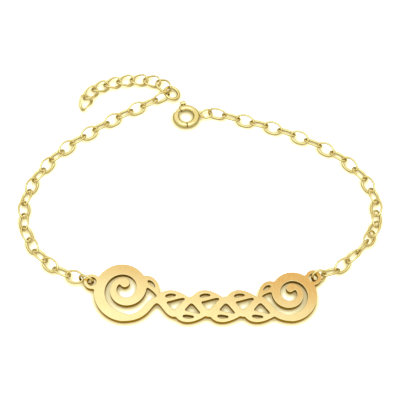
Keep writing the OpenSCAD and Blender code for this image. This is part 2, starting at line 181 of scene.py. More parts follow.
class ClaspSettings(PropertyGroup):
    ring_d: length("Spring ring", "Outer diameter of the spring ring", 5.0)
    tube_d: length("Tube", "Diameter of its tube", 1.15)
    wall: length("Wall", "Wall of its tube", 0.2)
    lip: share("Lip", "Rounding of the mouth's rims, by the wall", 0.4)
    play: length("Play", "Play of the tongue in the tube", 0.06)
    mouth_from: turn("Mouth from", "Where the mouth opens, round the ring from +X", 127)
    mouth_to: turn("Mouth to", "Where the mouth ends", 164)
    travel: turn("Travel", "How far the tongue slides", 46)
    knob_at: turn("Knob", "Place of the knob round the ring", 102)
    knob_w: length("Knob width", "Width of the knob", 0.95)
    knob_h: length("Knob height", "How far the knob stands out from the ring", 0.95)
    knob_round: share("Knob rounding", "Rounding of the knob's rims, by its radius", 0.4)
    stem_d: length("Stem", "Diameter of the knob's stem", 0.3)
    stem_bare: length("Bare stem", "Length of stem between the ring and the knob", 0.2)
    slot_play: length("Slot play", "Play of the stem in its slot", 0.08)
    seam_at: turn("Seam", "Place of the groove where the tube was closed", 275)
    seam_w: length("Seam width", "Width of the seam groove", 0.22)
    seam_deep: length("Seam depth", "Depth of the seam groove", 0.19)
    tail_at: turn("Loop foot", "Where the soldered loop stands on the ring", 16)
    tail_aim: turn("Loop aim", "Which way the loop points", -8)
    tail_rise: turn("Loop rise", "How far the loop rises from the level", 10.5)
    tail_l: length("Loop length", "From the loop's foot to its middle", 1.6)
    tail_w: length("Loop width", "Width of the loop over its wire", 2.3)
    tail_wire: length("Loop wire", "Wire of the loop", 0.4)
    colour: colour("Gold", "Gold of the clasp", (0.98, 0.82, 0.37))
    edge_colour: colour("Edge tint", "Tint of the light that grazes it", (0.15, 0.1, 0.02))
    roughness: share("Roughness", "Roughness of the clasp", 0.1)


class PolishSettings(PropertyGroup):
    # The deep gold serves the random changes of tone and also the painted shade in hollows and
    # crossings; the dull gold and the hollow settings are painted shade only.
    tone_and_shade_colour: colour("Deep gold", "Gold between the polished places", (0.86, 0.64, 0.2))
    hollow_shade_colour: colour("Dull gold", "Gold that the polish doesn't reach", (0.18, 0.12, 0.03))
    tone_deep: share("Tone", "Deep gold that the slow changes of tone bring", 0.25)
    tone_scale: strength("Tone scale", "Fineness of the changes of tone", 300.0, 20000.0)
    hollow_reach: length("Hollow reach", "Metal nearer than this makes a hollow", 0.4)
    hollow_shade: share("Hollow gold", "Deep gold that the hollows bring", 0.6)
    hollow_shade_power: strength("Hollow dullness", "How late in a hollow the gold turns dull", 1.5)
    smoothest: share("Smoothest", "Least roughness, by the metal's own", 0.9, 2.0)
    roughest: share("Roughest", "Most roughness, by the metal's own", 1.15, 2.0)
    marks: share("Marks", "Strength of the fine polishing marks", 0.03)
    marks_deep: length("Marks depth", "Depth of the fine polishing marks", 0.02)
    marks_scale: strength("Marks scale", "Fineness of the polishing marks", 4000.0, 20000.0)


class StageSettings(PropertyGroup):
    distance: length("Camera distance", "From the camera to the point it looks at", 244, 2000)
    elevation: turn("Camera elevation", "Angle of the camera above the surface", 60)
    aim_y: FloatProperty(name="Aim", description="Y of the point that the camera looks at",
                         default=-1.25 * MM, unit="LENGTH", precision=5)
    lens: FloatProperty(name="Lens", description="Focal length in millimetres", default=120.0,
                        min=20.0)
    floor_half: length("Floor", "Half the side of the floor", 1200, 5000)
    floor_colour: colour("Floor colour", "Colour of the pale floor", (0.92, 0.92, 0.92))
    floor_roughness: share("Floor roughness", "Roughness of the pale floor", 0.9)
    # Painted light and shade on the floor: a warm glow near the metal and a contact shadow right
    # at it, out to the glow reach.
    painted_glow_colour: colour("Floor glow", "Warm tint of the floor near the metal", (0.9, 0.8, 0.45))
    contact_shadow_colour: colour("Floor contact", "Tint right at the metal", (0.54, 0.44, 0.22))
    glow_and_shadow_reach: length("Floor glow reach", "How far from the metal the floor is tinted", 0.9)
    box_power: strength("Light box power", "Power of the light box in watts", 0.33, 100.0)
    box_wide: length("Light box width", "Its side from left to right", 360, 2000)
    box_deep: length("Light box depth", "Its side from front to back", 250, 2000)
    box_high: length("Light box height", "Its height above the floor", 300, 2000)
    box_ahead: length("Light box place", "How far in front of the middle it hangs", 54, 2000)
    box_turn: turn("Light box turn", "How far it turns clockwise, seen from above", 11)
    box_colour: colour("Light box colour", "Cool colour of the light box", (0.3, 0.66, 1.0))
    floor_light: strength("Floor light", "Strength of the even light on the floor", 1.25)
    under_light: strength("Under light", "Light that comes up through the pale floor", 0.5)
    mirrored_floor: colour("Mirrored floor", "How the metal sees the floor", (0.47, 0.42, 0.26))
    dome_colour: colour("Dome", "How the metal sees the room above", (0.93, 0.93, 0.86))
    horizon_colour: colour("Horizon", "How it sees the room around", (0.16, 0.12, 0.05))
    horizon_top: share("Horizon top", "Sine of the height at which the dome begins", 0.3)
    warm_colour: colour("Warm patch", "What the plate's back mirrors", (0.76, 0.5, 0.22))
    warm_tilt: turn("Warm tilt", "How far the warm patch leans back from overhead", 18)
    warm_reach: turn("Warm reach", "Half the width of the warm patch", 9)


class BraceletSettings(PropertyGroup):
    plate: PointerProperty(type=PlateSettings)
    rings: PointerProperty(type=RingSettings)
    links: PointerProperty(type=LinkSettings)
    curb: PointerProperty(type=CurbSettings)
    clasp: PointerProperty(type=ClaspSettings)
    polish: PointerProperty(type=PolishSettings)
    stage: PointerProperty(type=StageSettings)


# Node trees

class Web:
    """A node tree with short calls that add nodes already fed."""

    def __init__(self, tree):
        self.tree = tree
        tree.nodes.clear()

    def socket(self, name, kind="NodeSocketFloat", in_out="INPUT", default=None):
        socket = self.tree.interface.new_socket(name=name, in_out=in_out, socket_type=kind)
        if default is not None:
            socket.default_value = default

    def add(self, kind, values=None, **settings):
        node = self.tree.nodes.new(kind)
        for key, value in settings.items():
            setattr(node, key, value)
        for key, value in (values or {}).items():
            if isinstance(value, NodeSocket):
                self.tree.links.new(value, node.inputs[key])
            else:
                node.inputs[key].default_value = value
        return node

    def math(self, operation, *values):
        values = dict(enumerate(values))
        return self.add("ShaderNodeMath", values, operation=operation).outputs[0]

    def times(self, *values):
        return self.math("MULTIPLY", *values)

    def ramp(self, value, low, high, to_low=0.0, to_high=1.0):
        values = {"Value": value, "From Min": low, "From Max": high, "To Min": to_low,
                  "To Max": to_high}
        node = self.add("ShaderNodeMapRange", values, interpolation_type="SMOOTHSTEP")
        return node.outputs["Result"]

    def blend(self, amount, first, second):
        values = {0: amount, 6: first, 7: second}
        return self.add("ShaderNodeMix", values, data_type="RGBA").outputs[2]


def wire_loop_tree():
    """Closed wire loops on points, turned so that a loop's length lies along its point's X."""
    web = Web(bpy.data.node_groups.new("Wire Loops", "GeometryNodeTree"))
    web.socket("Points", "NodeSocketGeometry")
    for name in ("Length", "Width", "Wire", "Twist", "End Taper"):
        web.socket(name, default=0.0)
    web.socket("Stations", "NodeSocketInt", default=32)
    web.socket("Sides", "NodeSocketInt", default=12)
    web.socket("Material", "NodeSocketMaterial")
    web.socket("Geometry", "NodeSocketGeometry", "OUTPUT")
    given = web.add("NodeGroupInput").outputs
    half_long, half_wide = (
        web.times(web.math("SUBTRACT", given[name], given["Wire"]), 0.5)
        for name in ("Length", "Width"))
    round_one = web.add("GeometryNodeCurvePrimitiveCircle", {
        "Resolution": given["Stations"], "Radius": 1.0}).outputs[0]
    profile = web.add("GeometryNodeCurvePrimitiveCircle", {
        "Resolution": given["Sides"], "Radius": web.times(given["Wire"], 0.5)}).outputs[0]
    position = web.add("GeometryNodeInputPosition").outputs[0]
    at = web.add("ShaderNodeSeparateXYZ", {0: position}).outputs
    # On the round circle X times Y is a half at most, so twice the twist makes the whole wave.
    wave = web.times(web.times(at["X"], at["Y"]), web.times(given["Twist"], 2.0))

    def loop(taper):
        narrowed = web.math("SUBTRACT", 1.0, web.times(at["X"], taper))
        moved = web.add("ShaderNodeCombineXYZ", {
            0: web.times(at["X"], half_long),
            1: web.times(web.times(at["Y"], half_wide), narrowed), 2: wave}).outputs[0]
        bent = web.add("GeometryNodeSetPosition", {"Geometry": round_one, "Position": moved})
        return web.add("GeometryNodeCurveToMesh", {
            "Curve": bent.outputs[0], "Profile Curve": profile}).outputs[0]

    size = web.add("GeometryNodeAttributeDomainSize", {0: given["Points"]})
    last = web.math("SUBTRACT", size.outputs["Point Count"], 1.0)
    index = web.add("GeometryNodeInputIndex").outputs[0]
    is_last = web.add("FunctionNodeCompare", {2: index, 3: last}, data_type="INT",
                      operation="EQUAL").outputs[0]
    others = web.add("FunctionNodeBooleanMath", {0: is_last}, operation="NOT").outputs[0]
    turns = web.add("GeometryNodeInputNamedAttribute", {"Name": "turn"},
                    data_type="QUATERNION").outputs[0]
    joined = web.add("GeometryNodeJoinGeometry")
    for chosen, taper in ((others, 0.0), (is_last, given["End Taper"])):
        placed = web.add("GeometryNodeInstanceOnPoints", {
            "Points": given["Points"], "Selection": chosen, "Instance": loop(taper),
            "Rotation": turns})
        web.tree.links.new(placed.outputs[0], joined.inputs[0])
    whole = web.add("GeometryNodeRealizeInstances", {0: joined.outputs[0]})
    smooth = web.add("GeometryNodeSetShadeSmooth", {0: whole.outputs[0]})
    coated = web.add("GeometryNodeSetMaterial", {
        "Geometry": smooth.outputs[0], "Material": given["Material"]})
    web.add("NodeGroupOutput", {0: coated.outputs[0]})
    return web.tree


def grain_group():
    """Fine polishing marks and slow changes of tone, which vary over the surface."""
    web = Web(bpy.data.node_groups.new("Polish Grain", "ShaderNodeTree"))
    web.socket("Fine Scale", default=4000.0)
    web.socket("Slow Scale", default=300.0)
    web.socket("Grain", in_out="OUTPUT")
    web.socket("Tone", in_out="OUTPUT")
    given = web.add("NodeGroupInput").outputs
    place = web.add("ShaderNodeTexCoord").outputs["Object"]
    drawn = web.add("ShaderNodeMapping", {"Vector": place, "Scale": MARKS_DRAWN,
                                          "Rotation": MARKS_TURN}).outputs[0]
    fine = web.add("ShaderNodeTexNoise", {"Vector": drawn, "Scale": given["Fine Scale"],
                                          "Detail": MARKS_DETAIL, "Roughness": MARKS_ROUGH})
    slow = web.add("ShaderNodeTexNoise", {"Vector": place, "Scale": given["Slow Scale"],
                                          "Detail": TONE_DETAIL})
    web.add("NodeGroupOutput", {"Grain": fine.outputs[0], "Tone": slow.outputs[0]})
    return web.tree


def hollow_shade_group():
    """How deep in a hollow or a crossing a place lies, for the shade painted into the gold there.
    """
    web = Web(bpy.data.node_groups.new("Painted Hollow Shade", "ShaderNodeTree"))
    web.socket("Reach", default=0.4 * MM)
    web.socket("Depth", in_out="OUTPUT")
    given = web.add("NodeGroupInput").outputs
    near = web.add("ShaderNodeAmbientOcclusion", {"Distance": given["Reach"]},
                   samples=HOLLOW_RAYS)
    web.add("NodeGroupOutput", {
        "Depth": web.ramp(near.outputs["AO"], HOLLOW_STARTS, HOLLOW_FULL)})
    return web.tree


def shared_group(name, build):
    return bpy.data.node_groups.get(name) or build()


def rgba(rgb):
    return (*rgb, 1.0)


def gold(name, metal, polish, walls=False):
    """Polished gold as a group of settings has it, with painted shade in its hollows and on sawn
    walls.
    """
    material = bpy.data.materials.get(name)
    if material:
        return material
    material = bpy.data.materials.new(name)
    material.use_nodes = True
    web = Web(material.node_tree)
    grain = web.add("ShaderNodeGroup", node_tree=shared_group("Polish Grain", grain_group))
    grain.inputs["Fine Scale"].default_value = polish.marks_scale
    grain.inputs["Slow Scale"].default_value = polish.tone_scale
    hollow = web.add("ShaderNodeGroup", node_tree=shared_group("Painted Hollow Shade", hollow_shade_group))
    hollow.inputs["Reach"].default_value = polish.hollow_reach
    depth, deep = hollow.outputs["Depth"], rgba(polish.tone_and_shade_colour)
    tone = web.ramp(grain.outputs["Tone"], NOISE_LOW, NOISE_HIGH, 0.0, polish.tone_deep)
    tinted = web.blend(tone, rgba(metal.colour), deep)
    # Painted shade: hollows and crossings turn to the deep gold, and deepest in to the dull gold,
    # where shade falls.
    tinted = web.blend(web.times(depth, polish.hollow_shade), tinted, deep)
    shaded = web.math("POWER", depth, polish.hollow_shade_power)
    tinted = web.blend(shaded, tinted, rgba(polish.hollow_shade_colour))
    rough = web.ramp(grain.outputs["Grain"], NOISE_LOW, NOISE_HIGH,
                     metal.roughness * polish.smoothest, metal.roughness * polish.roughest)
    # Painted shade: upright faces take the darker cut wall gold, standing in for the shaded floor
    # they mirror; the added roughness is the sawn finish.
    if walls:
        normal = web.add("ShaderNodeTexCoord").outputs["Normal"]
        level = web.math("ABSOLUTE", web.add("ShaderNodeSeparateXYZ", {0: normal}).outputs["Z"])
        upright = web.ramp(level, WALL_STARTS, WALL_FULL)
        tinted = web.blend(upright, tinted, rgba(metal.wall_shade_colour))
        rough = web.math("ADD", rough, web.times(upright, metal.wall_roughness))
    bump = web.add("ShaderNodeBump", {"Height": grain.outputs["Grain"],
                                      "Strength": polish.marks, "Distance": polish.marks_deep})
    shader = web.add("ShaderNodeBsdfPrincipled", {
        "Base Color": tinted, "Metallic": 1.0, "Roughness": rough,
        "Specular Tint": rgba(metal.edge_colour), "Normal": bump.outputs[0]})
    web.add("ShaderNodeOutputMaterial", {"Surface": shader.outputs[0]})
    return material


# Meshes

def linked(name, data):
    """A new object in the scene."""
    item = bpy.data.objects.new(name, data)
    bpy.context.scene.collection.objects.link(item)
    return item


def evaluated_mesh(item):
    """A new mesh of an object with its modifiers done."""
    depsgraph = bpy.context.evaluated_depsgraph_get()
    return bpy.data.meshes.new_from_object(item.evaluated_get(depsgraph))


def show(mesh, body, slot, material, *nodes):
    """Puts a finished mesh in the scene as a piece that stands for CAD nodes."""
    mesh.materials.clear()  # Instances that are made real bring an empty slot.
    mesh.materials.append(material)
    piece = linked(mesh.name, mesh)
    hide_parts(*nodes)
    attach(piece, body)


def merged(node):
    """A merged copy of a CAD node's loose triangles, as a BMesh that the caller frees."""
    copy = bmesh.new()
    copy.from_mesh(frame["nodes"][node].data)
    bmesh.ops.remove_doubles(copy, verts=copy.verts, dist=MERGE)
    copy.normal_update()
    return copy


def loose_parts(node):
    """The corners of each loose part's triangles, as arrays of n x 3 x 3."""
    copy = merged(node)
    seen, parts = set(), []
    for start in copy.faces:
        if start in seen:
            continue
        seen.add(start)
        found = [start]
        for face in found:
            for other in (f for edge in face.edges for f in edge.link_faces):
                if other not in seen:
                    seen.add(other)
                    found.append(other)
        parts.append(np.array([[corner.co[:] for corner in face.verts] for face in found]))
    copy.free()
    return parts


def lie(triangles):
    """Middle of a surface and its three main directions, longest first and right-handed."""
    sides = np.cross(triangles[:, 1] - triangles[:, 0], triangles[:, 2] - triangles[:, 0])
    area = np.linalg.norm(sides, axis=1)
    middles = triangles.mean(axis=1)
    centre = (middles * area[:, None]).sum(axis=0) / area.sum()
    corners, middles = triangles - centre, middles - centre
    # A triangle spreads as its corners do together with nine points at its middle.
    spread = (np.einsum("t,tci,tcj->ij", area, corners, corners)
              + 9 * np.einsum("t,ti,tj->ij", area, middles, middles))
    along = np.linalg.eigh(spread)[1].T[::-1]
    first, second = Vector(along[0]), Vector(along[1])
    return Vector(centre), first, second, first.cross(second)


def turned(first, second):
    """The turn that takes X to first and Y to second."""
    columns = (first, second, first.cross(second))
    return Matrix([[c[i] for c in columns] for i in range(3)]).to_quaternion()


def wire_loops(name, places, material, **sizes):
    """A mesh of wire loops at (middle, turn) places, made by the shared tree."""
    points = bpy.data.meshes.new("points")
    points.from_pydata([place for place, _ in places], [], [])
    turns = points.attributes.new("turn", "QUATERNION", "POINT")
    for datum, (_, quaternion) in zip(turns.data, places):
        datum.value = quaternion[:]
    holder = linked("points", points)
    modifier = holder.modifiers.new("Wire Loops", "NODES")
    modifier.node_group = shared_group("Wire Loops", wire_loop_tree)
    values = {key.replace("_", " ").title(): value for key, value in sizes.items()}
    values["Material"] = material
    for item in modifier.node_group.interface.items_tree:
        if item.name in values:
            modifier[item.identifier] = values[item.name]
    mesh = evaluated_mesh(holder)
    mesh.name = name
    mesh.attributes.remove(mesh.attributes["turn"])
    bpy.data.meshes.remove(points)  # This removes the holder too.
    if not mesh.polygons:
        raise RuntimeError(f"{name} came out with no faces")
    return mesh


def around(sides):
    """Cosine and sine at even steps round a circle."""
    return [(math.cos(a), math.sin(a)) for a in (2 * math.pi * j / sides for j in range(sides))]


def quarter(steps):
    """Angles at even steps over a quarter turn."""
    return [math.pi / 2 * i / steps for i in range(steps + 1)]


def skin(rings, sides, closed=False):
    """Faces between rings of corners in a row, and back to the first if closed."""
    pairs = [(i * sides, (i + 1) % rings * sides) for i in range(rings if closed else rings - 1)]
    return [(near + j, near + (j + 1) % sides, far + (j + 1) % sides, far + j)
            for near, far in pairs for j in range(sides)]


def caps(rings, sides):
    """Faces that close the first and the last ring of a skin."""
    last = (rings - 1) * sides
    return [tuple(reversed(range(sides))), tuple(range(last, last + sides))]


def tube(path, radii, sides, up=UP):
    """A closed wire with a radius at each point of its path."""
    corners, last = [], len(path) - 1
    for i, (point, radius) in enumerate(zip(path, radii)):
        ahead = (path[min(i + 1, last)] - path[max(i - 1, 0)]).normalized()
        side = up.cross(ahead).normalized()
        top = ahead.cross(side)
        corners += [point + (side * x + top * y) * radius for x, y in around(sides)]
    return corners, skin(len(path), sides) + caps(len(path), sides)


def lathe(profile, centre, axis, side, sides):
    """A closed turned shape of (distance along the axis, radius) pairs."""
    other = axis.cross(side)
    corners = [centre + axis * along + (side * x + other * y) * radius
               for along, radius in profile for x, y in around(sides)]
    return corners, skin(len(profile), sides)


def smoothed(mesh):
    """The mesh, smooth except at its sharp edges."""
    mesh.shade_smooth()
    mesh.set_sharp_from_angle(angle=SHARP)
    return mesh


def mesh_of(name, *shells):
    """One mesh of several closed shells, each given as its corners and faces."""
    corners, faces = [], []
    for shell_corners, shell_faces in shells:
        start = len(corners)
        corners += [tuple(c) for c in shell_corners]
        faces += [tuple(start + i for i in face) for face in shell_faces]
    mesh = bpy.data.meshes.new(name)
    mesh.from_pydata(corners, [], faces)
    whole = bmesh.new()
    whole.from_mesh(mesh)
    bmesh.ops.remove_doubles(whole, verts=whole.verts, dist=MERGE)
    bmesh.ops.recalc_face_normals(whole, faces=whole.faces)
    whole.to_mesh(mesh)
    whole.free()
    return smoothed(mesh)


def cut(mesh, cutter):
    """The mesh without what lies in the cutter. Both are closed, and both are used up."""
    body, tool = linked("cut_body", mesh), linked("cut_tool", cutter)
    modifier = body.modifiers.new("Cut", "BOOLEAN")
    modifier.operation, modifier.solver, modifier.object = "DIFFERENCE", "EXACT", tool
    result = evaluated_mesh(body)
    for used in (mesh, cutter):
        bpy.data.meshes.remove(used)  # This removes its object too.
    return result


def joined(name, *meshes):
    """One mesh of several, which are used up."""
    whole = bmesh.new()
    for used in meshes:
        whole.from_mesh(used)
        bpy.data.meshes.remove(used)
    mesh = bpy.data.meshes.new(name)
    whole.to_mesh(mesh)
    whole.free()
    return smoothed(mesh)


# Nameplate

def rim_loops(copy, normal):
    """The outlines of the flat top, each with the metal on its left."""
    top = [face for face in copy.faces if face.normal.dot(normal) > SAME_WAY]
    flat, after = set(top), {}
    for corner in (corner for face in top for corner in face.loops):
        if any(other not in flat for other in corner.edge.link_faces):
            after[corner.vert] = corner.link_loop_next.vert
    loops = []
    while after:
        loop = [next(iter(after))]
        following = after.pop(loop[0])
        while following in after:
            loop.append(following)
            following = after.pop(following)
        loops.append([v.co.copy() for v in loop])
    return loops


def curved(points, corner, step):
    """A closed outline bent smoothly through its points, except at corners, in small steps."""
    kept = [p for i, p in enumerate(points) if np.linalg.norm(p - points[i - 1]) > SHORTEST]
    n = len(kept)
    ahead = [kept[(i + 1) % n] - kept[i] for i in range(n)]
    reach = [np.linalg.norm(a) for a in ahead]
    made = []
    for i in range(n):
        a, b, long = kept[i], kept[(i + 1) % n], reach[i]
        ends = []
        for k in (i, (i + 1) % n):
            before, after = ahead[k - 1] / reach[k - 1], ahead[k] / reach[k]
            bend = math.acos(max(-1.0, min(1.0, before @ after)))
            both = before * reach[k] + after * reach[k - 1]
            ends.append(ahead[i] if bend > corner else both / np.linalg.norm(both) * long)
        count = max(1, math.ceil(long / step))
        # A cubic from a to b, which sets out and arrives along the two ends.
        for t in (j / count for j in range(count)):
            made.append(a * (2 * t**3 - 3 * t**2 + 1) + ends[0] * (t**3 - 2 * t**2 + t)
                        + b * (3 * t**2 - 2 * t**3) + ends[1] * (t**3 - t**2))
    return np.array(made)


def even_steps(points, step):
    """A closed outline walked in equal steps."""
    closed = np.vstack([points, points[:1]])
    at = np.concatenate([[0.0], np.cumsum(np.linalg.norm(np.diff(closed, axis=0), axis=1))])
    where = np.linspace(0.0, at[-1], max(FEWEST, round(at[-1] / step)), endpoint=False)
    return np.column_stack([np.interp(where, at, closed[:, i]) for i in range(2)])


def softened(points, step, reach):
    """A closed outline with its corners rounded, as a cutting tool leaves them."""
    width = reach / step
    span = math.ceil(width * SOFT_SPAN)
    weights = np.exp(-0.5 * (np.arange(-span, span + 1) / width) ** 2)
    weights /= weights.sum()
    return sum(w * np.roll(points, k, axis=0) for k, w in zip(range(-span, span + 1), weights))


def outward_of(points):
    """Unit directions out of the metal, which lies on the outline's left."""
    ahead = np.roll(points, -1, axis=0) - np.roll(points, 1, axis=0)
    ahead /= np.linalg.norm(ahead, axis=1)[:, None]
    return np.column_stack([ahead[:, 1], -ahead[:, 0]])


def rim_levels(rounding, thick, steps):
    """Inset, height, and the normal's parts outwards and upwards, from top to bottom."""
    top = [(rounding * (1 - math.sin(a)), -rounding * (1 - math.cos(a)), math.sin(a), math.cos(a))
           for a in quarter(steps)]
    return top + [(inset, -thick - height, out, -up) for inset, height, out, up in reversed(top)]


def nameplate_mesh(plate):
    """The pierced plate between the CAD plate's faces, with softened and rounded edges."""
    copy = merged("nameplate")
    top = max((f for f in copy.faces if f.normal.z > UPWARD), key=lambda f: f.calc_area())
    normal, middle = top.normal.copy(), top.verts[0].co.copy()
    back = normal.cross(ACROSS).normalized()
    thick = max((middle - v.co).dot(normal) for v in copy.verts)
    fine = plate.outline_step / plate.fine_steps
    outlines = []
    for loop in rim_loops(copy, normal):
        flat = [np.array([(p - middle).dot(ACROSS), (p - middle).dot(back)]) for p in loop]
        dense = even_steps(curved(flat, plate.corner, fine), fine)
        outlines.append(even_steps(softened(dense, fine, plate.cut_soften), plate.outline_step))
    copy.free()

    levels = rim_levels(plate.edge_round, thick, plate.rim_steps)
    corners, normals, faces = [], [], []
    edges, drawn, tops, bottoms = [], [], [], []
    for points in outlines:
        out, n, first = outward_of(points), len(points), len(corners)
        for inset, height, aside, up in levels:
            for p, o in zip(points - out * inset, out):
                corners.append(middle + ACROSS * p[0] + back * p[1] + normal * height)
                normals.append(ACROSS * o[0] * aside + back * o[1] * aside + normal * up)
        faces += [(first + a, first + d, first + c, first + b)
                  for a, b, c, d in skin(len(levels), n)]
        drawn.append(tuple(range(len(edges), len(edges) + n)))
        edges += [Vector(p / MM) for p in points - out * levels[0][0]]
        tops += range(first, first + n)
        bottoms += range(len(corners) - n, len(corners))
    filled, origin = delaunay_2d_cdt(edges, [], drawn, FILL_BUT_HOLES, FILL_NEAR)[2:4]
    if not all(origin):
        raise RuntimeError("the plate's outline crosses itself")
    for triangle in filled:
        ids = [origin[i][0] for i in triangle]
        faces.append(tuple(tops[i] for i in ids))
        faces.append(tuple(bottoms[i] for i in reversed(ids)))
    mesh = bpy.data.meshes.new("nameplate_openwork")
    mesh.from_pydata([tuple(c) for c in corners], [], faces)
    mesh.shade_smooth()
    mesh.normals_split_custom_set_from_vertices([tuple(n.normalized()) for n in normals])
    return mesh


class BRACELET_OT_nameplate(Operator):
    """Makes the pierced plate with polished faces, a rounded rim and painted shade on its cut
    walls
    """
    bl_idname = "bracelet.nameplate"
    bl_label = "Nameplate"

    def execute(self, context):
        settings = context.scene.bracelet
        material = gold("plate gold", settings.plate, settings.polish, walls=True)
        show(nameplate_mesh(settings.plate), "bracelet", "plate_gold", material, "nameplate")
        return {"FINISHED"}


# Rings, chains and extender

class BRACELET_OT_rings(Operator):
    """Makes the jump rings in the plate's ears and the one that carries the extender"""
    bl_idname = "bracelet.rings"
    bl_label = "Jump rings"

    def execute(self, context):
        settings = context.scene.bracelet
        rings = settings.rings
        material = gold("chain gold", settings.links, settings.polish)
        for name, nodes, wide, wire in (
                ("plate_rings", ("plate_ring_left", "plate_ring_right"), rings.plate_d,
                 rings.plate_wire),
                ("extender_loop", ("extender_ring",), rings.extender_d, rings.extender_wire)):
            places = []
            for node in nodes:
                centre, _, _, axis = lie(loose_parts(node)[0])
                high = axis.cross(UP).cross(axis).normalized()
                places.append((centre, turned(high.cross(axis), high)))
            mesh = wire_loops(name, places, material, length=wide, width=wide, wire=wire,
                              stations=rings.stations, sides=rings.sides)
            show(mesh, "bracelet", "chain_gold", material, *nodes)
        return {"FINISHED"}


class BRACELET_OT_chains(Operator):
    """Makes the smooth oval links of the two main chains"""
    bl_idname = "bracelet.chains"
    bl_label = "Chains"

    def execute(self, context):
        settings = context.scene.bracelet
        links = settings.links
        material = gold("chain gold", links, settings.polish)
        for node in ("chain_left", "chain_right"):
            found = sorted((lie(part) for part in loose_parts(node)),
                           key=lambda place: (place[0].y, place[0].x))
            places = [(centre, turned(first, second)) for centre, first, second, _ in found]
            mesh = wire_loops(node + "_links", places, material, length=links.long,
                              width=links.wide, wire=links.wire, stations=links.stations,
                              sides=links.sides)
            show(mesh, "bracelet", "chain_gold", material, node)
        return {"FINISHED"}


class BRACELET_OT_extender(Operator):
    """Makes the twisted curb links of the extender, with the narrowed last one"""
    bl_idname = "bracelet.extender"
    bl_label = "Extender"

    def execute(self, context):
        settings = context.scene.bracelet
        curb, links = settings.curb, settings.links
        ring = lie(loose_parts("extender_ring")[0])[0]
        found = sorted((lie(part) for part in loose_parts("extender_chain")),
                       key=lambda place: (place[0] - ring).length)
        places = [(centre, turned(first, second)) for centre, first, second, _ in found[:-1]]
        centre, first, _, _ = found[-1]
        if first.dot(centre - found[-2][0]) < 0:
            first = -first
        places.append((centre, turned(first, UP.cross(first).normalized())))
        material = gold("chain gold", links, settings.polish)
        mesh = wire_loops("extender_links", places, material, length=curb.long,
                          width=curb.wide, wire=curb.wire, twist=curb.twist,
                          end_taper=curb.end_taper, stations=links.stations, sides=links.sides)
        show(mesh, "bracelet", "chain_gold", material, "extender_chain")
        return {"FINISHED"}


# Clasp

def round_ring(centre, angle, radius, height=0.0):
    return centre + Vector((math.cos(angle), math.sin(angle), 0.0)) * radius + UP * height


def arc_path(centre, radius, start, end, steps):
    return [round_ring(centre, start + (end - start) * i / steps, radius)
            for i in range(steps + 1)]


def hollow_tube(centre, radius, start, end, outer, inner, lip, seam):
    """A tube along an arc with open ends, rounded outer rims and a groove at its seam."""
    rim = [(start + lip * (1 - math.sin(a)) / radius, outer - lip * (1 - math.cos(a)))
           for a in quarter(RIM_STEPS)]
    along = [start + (end - start) * i / TUBE_STEPS for i in range(TUBE_STEPS + 1)]
    at, half, deep = seam
    body = [(a, outer) for a in along[2:-2] if abs(a - at) > half * SEAM_CLEAR]
    body += [(at - half, outer), (at, outer - deep), (at + half, outer)]
    rows = rim[::-1] + sorted(body) + [(start + end - a, r) for a, r in rim]
    rows += [(a, inner) for a in reversed(along)]
    corners = [round_ring(centre, a, radius + r * x, r * z) for a, r in rows
               for x, z in around(TUBE_SIDES)]
    return corners, skin(len(rows), TUBE_SIDES, closed=True)


def slot_block(centre, start, end, near, far, half):
    """A block bent along an arc, used to cut the slot."""
    corners = [round_ring(centre, start + (end - start) * i / SLOT_STEPS, r, z)
               for i in range(SLOT_STEPS + 1)
               for r, z in ((near, -half), (far, -half), (far, half), (near, half))]
    return corners, skin(SLOT_STEPS + 1, 4) + caps(SLOT_STEPS + 1, 4)


def barrel_profile(half, radius, bend):
    """A barrel for the lathe: flat ends, rounded rims and a straight side."""
    rise = [(-half, 0.0)]
    rise += [(-half + bend * (1 - math.cos(a)), radius - bend * (1 - math.sin(a)))
             for a in quarter(KNOB_STEPS)]
    return rise + [(-along, r) for along, r in reversed(rise)]


def blunt_ends(steps):
    """Radii along a rod with rounded ends, by the rod's own."""
    ends = [min(1.0, min(i, steps - i) / TIP_STEPS) for i in range(steps + 1)]
    return [max(TIP_LEAST, math.sqrt(1 - (1 - end) ** 2)) for end in ends]


def clasp_sizes(clasp):
    """The spring ring's middle, the radius to its tube's middle, and the bore's radius."""
    joint = next(j for j in frame["joints"] if j["name"] == "trigger")
    return (Vector(joint["pos_m"]), (clasp.ring_d - clasp.tube_d) / 2,
            clasp.tube_d / 2 - clasp.wall)


def tail_path(clasp, centre):
    """The path of the soldered loop's wire, with its foot and its turn."""
    loop = (clasp.tail_w - clasp.tail_wire) / 2
    lean = math.asin(loop / clasp.tail_l)
    foot = round_ring(centre, clasp.tail_at, (clasp.ring_d - clasp.wall) / 2)
    tilt = Matrix.Rotation(clasp.tail_aim, 3, "Z") @ Matrix.Rotation(-clasp.tail_rise, 3, "Y")
    side = round_ring(Vector(), -lean, clasp.tail_l * math.cos(lean))
    flat = [side * i / TAIL_STRAIGHT for i in range(TAIL_STRAIGHT)]
    bend = math.pi / 2 + lean
    flat += arc_path(ACROSS * clasp.tail_l, loop, -bend, bend, TAIL_BEND)
    flat += [Vector((p.x, -p.y, 0)) for p in reversed(flat[:TAIL_STRAIGHT])]
    return [foot + tilt @ p for p in flat], foot, tilt


